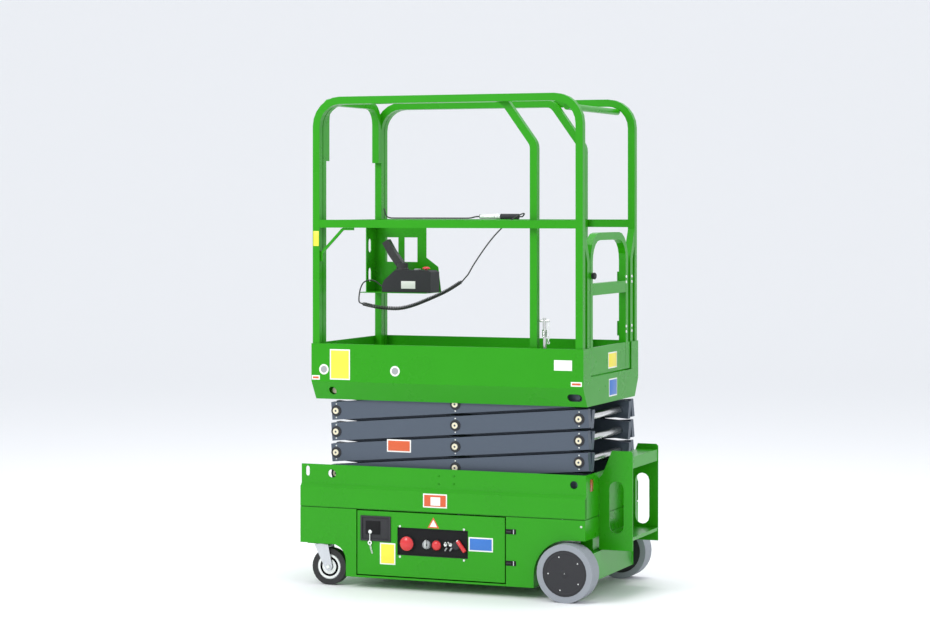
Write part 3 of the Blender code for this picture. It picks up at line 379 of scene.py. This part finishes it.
def bar(name, start, end, radius, material, body, sides=16):
    """A round bar between two points."""
    a, b = Vector(start), Vector(end)
    bpy.ops.mesh.primitive_cylinder_add(vertices=sides, radius=radius, depth=(b - a).length,
                                        location=(a + b) / 2)
    piece = bpy.context.object
    piece.name = name
    piece.rotation_euler = (b - a).to_track_quat("Z", "Y").to_euler()
    return finished(piece, material, body, radius * 0.2)


def screw(name, place, direction, radius, material, body):
    """A button-head screw with a socket."""
    profile = [(0, radius * 0.25), (radius * 0.42, radius * 0.25), (radius * 0.45, radius * 0.72),
               (radius * 0.8, radius * 0.55), (radius, radius * 0.2), (radius, 0), (0, 0)]
    return turned(name, place, direction, profile, material, body, 14)


near_door = -0.338
# Flat black for the latch paddle and the sunk panel; on the hinge slots it is painted shade.
black_and_slot_shade = surface("black_and_slot_shade", (0.006, 0.006, 0.007), 0.6, dust=0.0, specular=0.2)
red = surface("red_plastic", (0.62, 0.02, 0.025), 0.3, coat=0.3, grain=0.1)
bright = surface("bright_zinc", (0.80, 0.82, 0.80), 0.3, metallic=0.6, patches=0.1)
grey_plastic = surface("grey_plastic", (0.32, 0.33, 0.34), 0.4)
slab("latch_plate", (-0.415, near_door - 0.0012, 0.195), (-0.282, near_door + 0.0002, 0.297), black,
     "side_door_near", 0.0005)
for name, low, high in (("left", (-0.415, 0.195), (-0.407, 0.297)), ("right", (-0.290, 0.195), (-0.282, 0.297)),
                        ("low", (-0.408, 0.195), (-0.289, 0.203)), ("high", (-0.408, 0.289), (-0.289, 0.297))):
    slab(f"latch_frame_{name}", (low[0], near_door - 0.0045, low[1]), (high[0], near_door - 0.001, high[1]),
         black, "side_door_near", 0.0012)
slab("latch_paddle", (-0.392, near_door - 0.004, 0.222), (-0.328, near_door - 0.001, 0.276), black_and_slot_shade,
     "side_door_near", 0.0012)
turned("latch_lock", (-0.372, near_door - 0.004, 0.232), (0, -1, 0),
       [(0, 0.0015), (0.0065, 0.0015), (0.0075, 0.001), (0.008, 0), (0, 0)], bright, "side_door_near")
slab("latch_key", (-0.3735, near_door - 0.0075, 0.196), (-0.3705, near_door - 0.0055, 0.233), bright,
     "side_door_near", 0.0006)
turned("latch_key_bow", (-0.372, near_door - 0.0075, 0.188), (0, 1, 0),
       [(0.004, 0), (0.009, 0), (0.009, 0.002), (0.004, 0.002), (0.004, 0)], bright, "side_door_near")
for link_index in range(6):
    link_z = 0.180 - 0.0065 * link_index
    turned(f"key_chain_{link_index}", (-0.372 + 0.0018 * link_index, near_door - 0.0045, link_z),
           (link_index % 2, -1, 0),
           [(0.0022, -0.0007), (0.0036, -0.0007), (0.0036, 0.0007), (0.0022, 0.0007), (0.0022, -0.0007)],
           bright, "side_door_near", 12)

panel_face = -0.3298
slab("panel_back", (-0.2530, panel_face, 0.1450), (0.0520, panel_face + 0.0012, 0.2550), black_and_slot_shade,
     "side_door_near")
MUSHROOM = [(0, 0.022), (0.012, 0.0215), (0.022, 0.018), (0.0285, 0.012), (0.029, 0.009), (0.027, 0.008),
            (0.012, 0.007), (0.012, 0), (0, 0)]
turned("emergency_stop", (-0.2115, -0.3315, 0.192), (0, -1, 0),
       [(r, h * 0.95) for r, h in MUSHROOM], red, "side_door_near", 36)
turned("second_button", (-0.0827, -0.3315, 0.191), (0, -1, 0),
       [(r * 0.68, h * 0.8) for r, h in MUSHROOM], red, "side_door_near", 32)
turned("key_switch_ring", (-0.1283, -0.3315, 0.1907), (0, -1, 0),
       [(0.006, 0.008), (0.014, 0.008), (0.017, 0.005), (0.018, 0), (0.006, 0), (0.006, 0.008)], grey_plastic,
       "side_door_near")
slab("key_switch_bow", (-0.1303, -0.348, 0.1810), (-0.1263, -0.333, 0.2110), bright, "side_door_near", 0.001)
for index, (x, z, tilt) in enumerate(((-0.0459, 0.195, 0.006), (-0.0243, 0.196, -0.005))):
    turned(f"toggle_nut_{index}", (x, -0.3310, z), (0, -1, 0),
           [(0, 0.004), (0.007, 0.004), (0.0085, 0.002), (0.0085, 0), (0, 0)], bright, "side_door_near", 6)
    bar(f"toggle_stick_{index}", (x, -0.334, z), (x + tilt, -0.348, z + 0.012), 0.0024, bright, "side_door_near")
    bar(f"toggle_boot_{index}", (x - 0.002, -0.333, z - 0.024), (x + 0.008, -0.340, z - 0.012), 0.0035,
        grey_plastic, "side_door_near")
lever = bar("lever", (0.008, -0.336, 0.212), (0.042, -0.343, 0.172), 0.0085, red, "side_door_near", 20)
bar("lever_pin", (0.008, -0.331, 0.212), (0.008, -0.341, 0.212), 0.005, bright, "side_door_near")
for index, (x, z) in enumerate(((-0.2419, 0.2600), (0.0360, 0.2600), (-0.2419, 0.1375), (0.0360, 0.1375))):
    screw(f"panel_screw_{index}", (x, near_door + 0.0001, z), (0, -1, 0), 0.0052, bright, "side_door_near")

# ------------------------------------------------------------------ door hinges
# Two thin black slabs beside the door's edge are painted shade for each hinge's slot, with the hinge's knuckle and its
# pin in front.
for index, z in enumerate((0.262, 0.137)):
    # Painted shade: a black sheet on the face stands in for the dark inside of the slot.
    slab(f"hinge_slot_shade_{index}", (0.214, near_door - 0.0006, z - 0.010), (0.258, near_door + 0.0004, z + 0.010),
         black_and_slot_shade, "chassis", 0.0002)
    bar(f"hinge_knuckle_{index}", (0.218, near_door - 0.003, z), (0.240, near_door - 0.003, z), 0.0042, black,
        "chassis")
    slab(f"hinge_stop_{index}", (0.246, near_door - 0.0036, z - 0.009), (0.250, near_door, z + 0.009), zinc,
         "chassis", 0.0008)


# ------------------------------------------------------------------ blank labels
# Stickers in their own colours, each a bordered field with no lettering.
def sticker(name, across, corner, far_corner, level, border, field, body, inset=0.005):
    """A bordered plate on the face at level across X or Y; corners are (along, z)."""
    out = 1 if level > 0 else -1
    for layer, (shrink, lift, colour) in enumerate(((0.0, 0.0005, border), (inset, 0.0008, field))):
        a = (min(corner[0], far_corner[0]) + shrink, min(corner[1], far_corner[1]) + shrink)
        b = (max(corner[0], far_corner[0]) - shrink, max(corner[1], far_corner[1]) - shrink)
        faces = sorted((level - out * 0.0004, level + out * lift))
        if across == "Y":
            slab(f"{name}_{layer}", (a[0], faces[0], a[1]), (b[0], faces[1], b[1]), colour, body, 0.0002)
        else:
            slab(f"{name}_{layer}", (faces[0], a[0], a[1]), (faces[1], b[0], b[1]), colour, body, 0.0002)


white = surface("label_white", (0.80, 0.80, 0.76), 0.35, grain=0.02)
yellow = surface("label_yellow", (0.84, 0.72, 0.05), 0.35, grain=0.02)
blue = surface("label_blue", (0.03, 0.16, 0.52), 0.35, grain=0.02)
orange = surface("label_orange", (0.62, 0.10, 0.025), 0.35, grain=0.02)
STICKERS = (  # name, across, corner, far corner, level, border, field, body
    ("tray_yellow", "Y", (-0.548, 0.844), (-0.458, 0.968), -0.349, white, yellow, "platform"),
    ("tray_small_left", "Y", (-0.629, 0.842), (-0.593, 0.860), -0.349, white, orange, "platform"),
    ("tray_small_right", "Y", (0.491, 0.844), (0.537, 0.862), -0.349, white, orange, "platform"),
    ("tray_plate", "Y", (0.421, 0.905), (0.496, 0.946), -0.349, white, white, "platform"),
    ("arm_orange", "Y", (-0.320, 0.553), (-0.214, 0.604), -0.290, white, orange, "outer_arms_2"),
    ("door_blue", "Y", (0.056, 0.176), (0.160, 0.232), -0.338, white, blue, "side_door_near"),
    ("door_yellow", "Y", (-0.330, 0.103), (-0.262, 0.190), -0.338, white, yellow, "side_door_near"),
    ("band_orange", "Y", (-0.141, 0.341), (-0.037, 0.397), -0.338, white, orange, "chassis"),
    ("post_yellow", "Y", (-0.624, 1.387), (-0.600, 1.448), -0.3447, yellow, yellow, "platform"),
    ("entry_blue", "X", (-0.035, 0.7825), (0.067, 0.854), 0.543, white, blue, "platform"),
    ("gate_yellow", "X", (-0.030, 0.895), (0.080, 0.960), 0.5385, white, yellow, "gate"),
)
for name, across, corner, far_corner, level, border, field, body in STICKERS:
    if across == "X" and body == "gate":
        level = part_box("entry_gate")[1][0] - 0.0006
    sticker(name, across, corner, far_corner, level, border, field, body)
sticker("band_orange_patch", "Y", (-0.108, 0.350), (-0.066, 0.384), -0.3388, white, white, "chassis", 0.002)
for name, x in (("left", -0.5746), ("right", -0.2591)):
    turned(f"round_label_{name}", (x, -0.3489, 0.885), (0, -1, 0), [(0, 0.0006), (0.021, 0.0006), (0.021, 0), (0, 0)],
           white, "platform", 36)
    turned(f"round_label_field_{name}", (x, -0.3494, 0.885), (0, -1, 0),
           [(0, 0.0004), (0.014, 0.0004), (0.014, 0), (0, 0)], grey_plastic, "platform", 36)
for layer, radius, colour in ((0, 0.029, orange), (1, 0.019, white)):
    turned(f"triangle_label_{layer}", (-0.096, near_door + 0.0001 - 0.0003 * layer, 0.274), (0, -1, 0),
           [(0, 0.0005), (radius, 0.0005), (radius, 0), (0, 0)], colour, "side_door_near", 3, 90)
slab("reflector", (0.5463, -0.279, 0.427), (0.5490, -0.246, 0.474), surface("reflector", (0.35, 0.05, 0.02), 0.15,
     coat=0.6, grain=0.6, grain_scale=1500.0), "chassis", 0.001)

# ------------------------------------------------------------------ arm pivots
# Each pivot has a black boss, a cream ring washer and its pin, with a small screw
# above and below; polished cross shafts run between the two sides.
ARM_PITCH, STOWED = 1.054, math.radians(4.63)
FIRST_PIVOT = (-0.546, 0.457)
ARM_FACE = 0.290
rise = ARM_PITCH * math.sin(STOWED)
reach = ARM_PITCH * math.cos(STOWED)
cream = surface("cream_washer", (0.72, 0.66, 0.48), 0.35, grain=0.1)
for level in range(1, 5):
    base_z = FIRST_PIVOT[1] + (level - 1) * rise
    spots = [("left", FIRST_PIVOT[0], base_z), ("centre", FIRST_PIVOT[0] + reach / 2, base_z + rise / 2)]
    if level < 4:
        spots.append(("right", FIRST_PIVOT[0] + reach, base_z + rise))
    body = f"outer_arms_{level}"
    for side in (-1, 1):
        out = (0, side, 0)
        for place, x, z in spots:
            label = f"{place}_{level}_{'near' if side < 0 else 'far'}"
            turned(f"boss_{label}", (x, side * ARM_FACE, z), out,
                   [(0.0145, 0.004), (0.020, 0.004), (0.022, 0.0025), (0.022, 0), (0.0145, 0), (0.0145, 0.004)],
                   black, body, 24)
            turned(f"washer_{label}", (x, side * (ARM_FACE + 0.006), z), out,
                   [(0.0045, 0.0002), (0.0045, 0.0028), (0.011, 0.0028), (0.0125, 0.0015), (0.0125, 0.0002),
                    (0.0045, 0.0002)], cream, body, 24)
            for name, lift in (("above", 0.0275), ("below", -0.0275)):
                screw(f"boss_screw_{name}_{label}", (x, side * (ARM_FACE - 0.0001), z + lift), out, 0.0035,
                      bright, body)
    if level < 4:
        x, z = FIRST_PIVOT[0] + reach, base_z + rise
        bar(f"polished_shaft_{level}", (x, -0.216, z), (x, 0.216, z), 0.0146, steel, body, 24)

# ------------------------------------------------------------------ wheels
# Solid grey drive tyres with a moulded shoulder and a black disc held by small
# screws; casters with a pale ringed hub, an axle nut and a fork bolt.
for label, side in (("near", -1), ("far", 1)):
    out = (0, side, 0)
    body = f"drive_wheel_{label}"
    turned(f"rim_ring_{label}", (0.476, side * 0.3808, 0.115), out,
           [(0.076, 0.0004), (0.078, 0.0014), (0.083, 0.0014), (0.085, 0.0004), (0.076, 0.0004)], black, body, 64)
    turned(f"rim_cap_{label}", (0.476, side * 0.3809, 0.115), out,
           [(0, 0.0012), (0.013, 0.0012), (0.0155, 0), (0, 0)], black, body, 32)
    for index in range(5):
        turn = math.radians(38 + 72 * index)
        screw(f"rim_screw_{label}_{index}",
              (0.476 + 0.068 * math.cos(turn), side * 0.3807, 0.115 + 0.068 * math.sin(turn)), out, 0.0030,
              bright, body)
    screw(f"rim_centre_screw_{label}", (0.476, side * 0.3812, 0.115), out, 0.0022, bright, body)
    body = f"caster_wheel_{label}"
    for face in (-1, 1):
        y = side * 0.283 + face * 0.0178
        turned(f"caster_rings_{label}_{face}", (-0.573, y, 0.075), (0, face, 0),
               [(0.016, 0), (0.018, 0.0018), (0.028, 0.0018), (0.031, 0.0002), (0.040, 0.0002),
                (0.042, 0.0018), (0.049, 0.0018), (0.0505, 0), (0.016, 0)], bright, body, 48)
        turned(f"caster_nut_{label}_{face}", (-0.573, side * 0.283 + face * 0.029, 0.075), (0, face, 0),
               [(0, 0.005), (0.007, 0.005), (0.009, 0.003), (0.009, 0), (0, 0)], bright,
               f"caster_fork_{label}", 6)

# ------------------------------------------------------------------ bolts, plugs and the latch knob
# Bolt heads on the upper rail, the lower corner and the gate hinges, plug pins in
# the tie-down holes and a black knob on the gate latch.
for x, z in ((-0.0773, 0.4682), (-0.0123, 0.4709), (-0.0773, 0.4362), (-0.0123, 0.4389)):
    screw(f"rail_bolt_{x}_{z}", (x, -0.3249, z), (0, -1, 0), 0.0042, green, "chassis")
screw("corner_screw", (0.5300, -0.3379, 0.295), (0, -1, 0), 0.0050, bright, "chassis")
for name, place, body in (("tray", (-0.546, -0.296, 0.7973), "inner_arms_4"),):
    for side in (-1, 1):
        turned(f"{name}_pin_{side}", (place[0], side * 0.3003, place[2]), (0, side, 0),
               [(0, 0.003), (0.010, 0.003), (0.0125, 0.0015), (0.0125, 0), (0, 0)], cream, body, 24)
for z in (1.045, 1.249):
    for name, y, body in (("gate", 0.200, "gate"), ("jamb", 0.273, "platform")):
        for lift in (-0.011, 0.011):
            screw(f"hinge_bolt_{name}_{z}_{lift}", (0.5385, y, z + lift), (1, 0, 0), 0.0060, bright, body)
turned("latch_knob", (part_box("gate_latch")[1][0] - 0.0005, -0.232, 1.274), (1, 0, 0),
       [(0, 0.014), (0.010, 0.0135), (0.0135, 0.010), (0.0135, 0.004), (0.007, 0.002), (0.007, 0), (0, 0)],
       black, "gate", 28)

# ------------------------------------------------------------------ deck lock
# A plated pin locks the roll-out deck; a short chain keeps it with the near post.
lock_low, lock_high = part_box("deck_lock")
lock_x, lock_y = (lock_low[0] + lock_high[0]) / 2, (lock_low[1] + lock_high[1]) / 2
turned("lock_spring", (lock_x, lock_y, lock_high[2] - 0.075), (0, 0, 1),
       [(0.0072, 0), (0.0105, 0.002), (0.0085, 0.006), (0.0105, 0.010), (0.0085, 0.014), (0.0105, 0.018),
        (0.0085, 0.022), (0.0105, 0.026), (0.0072, 0.029), (0.0072, 0)], steel, "platform", 24)
bar("lock_handle", (lock_x - 0.020, lock_y, lock_high[2] - 0.012), (lock_x + 0.020, lock_y, lock_high[2] - 0.012),
    0.0045, steel, "platform")
for index in range(9):
    turned(f"lock_link_{index}", (lock_x + 0.018, lock_y - 0.004, lock_high[2] - 0.022 - 0.0095 * index),
           (index % 2, 1 - index % 2, 0),
           [(0.0032, -0.001), (0.0056, -0.001), (0.0056, 0.001), (0.0032, 0.001), (0.0032, -0.001)],
           bright, "platform", 12)

# ------------------------------------------------------------------ platform control box
# A charcoal housing with a blank plate, a ribbed rubber boot under the joystick's
# grip, a guarded switch, a stop button and a cable gland.
box_low, box_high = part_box("control_box")
slab("box_plate", (-0.440, box_low[1] - 0.0007, 1.200), (-0.375, box_low[1] + 0.0003, 1.232), white, "extension",
     0.0003)
boot = [(0, 0.0305), (0.0135, 0.0305), (0.017, 0.0275), (0.013, 0.0255), (0.020, 0.0215), (0.016, 0.0190),
        (0.0235, 0.0145), (0.019, 0.0115), (0.0275, 0.0060), (0.0285, 0), (0, 0)]
turned("joystick_boot", (-0.455, 0.180, 1.2785), (0, 0, 1), boot, cord_rubber, "extension", 32)
bar("joystick_stem", (-0.460, 0.180, 1.300), (-0.483, 0.180, 1.330), 0.008, black, "extension")
turned("box_stop", (-0.345, 0.180, 1.2775), (0, 0, 1), [(r * 0.6, h * 0.7) for r, h in MUSHROOM], red, "extension", 32)
slab("box_rocker", (-0.395, 0.165, 1.277), (-0.375, 0.195, 1.284), grey_plastic, "extension", 0.002)
turned("cord_gland", (-0.5292, 0.165, 1.205), (1, 0, 0),
       [(0.0034, -0.0065), (0.0048, -0.0065), (0.0065, -0.0035), (0.0065, 0.001), (0.0034, 0.001), (0.0034, -0.0065)],
       black, "extension", 20)
turned("plug_collar", (-0.050, PLUG_Y, PLUG_Z), (-1, 0, 0),
       [(0.0097, 0), (0.0112, 0.001), (0.0112, 0.010), (0.0105, 0.011), (0.0112, 0.012), (0.0112, 0.022),
        (0.0097, 0.024), (0.0097, 0)], bright, "extension", 28)
bar("plug_silver", (-0.075, PLUG_Y, PLUG_Z), (-0.143, PLUG_Y, PLUG_Z), 0.0101, bright, "extension", 28)

size = {"loaded": loaded_box, "finished": [list(corner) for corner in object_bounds()]}
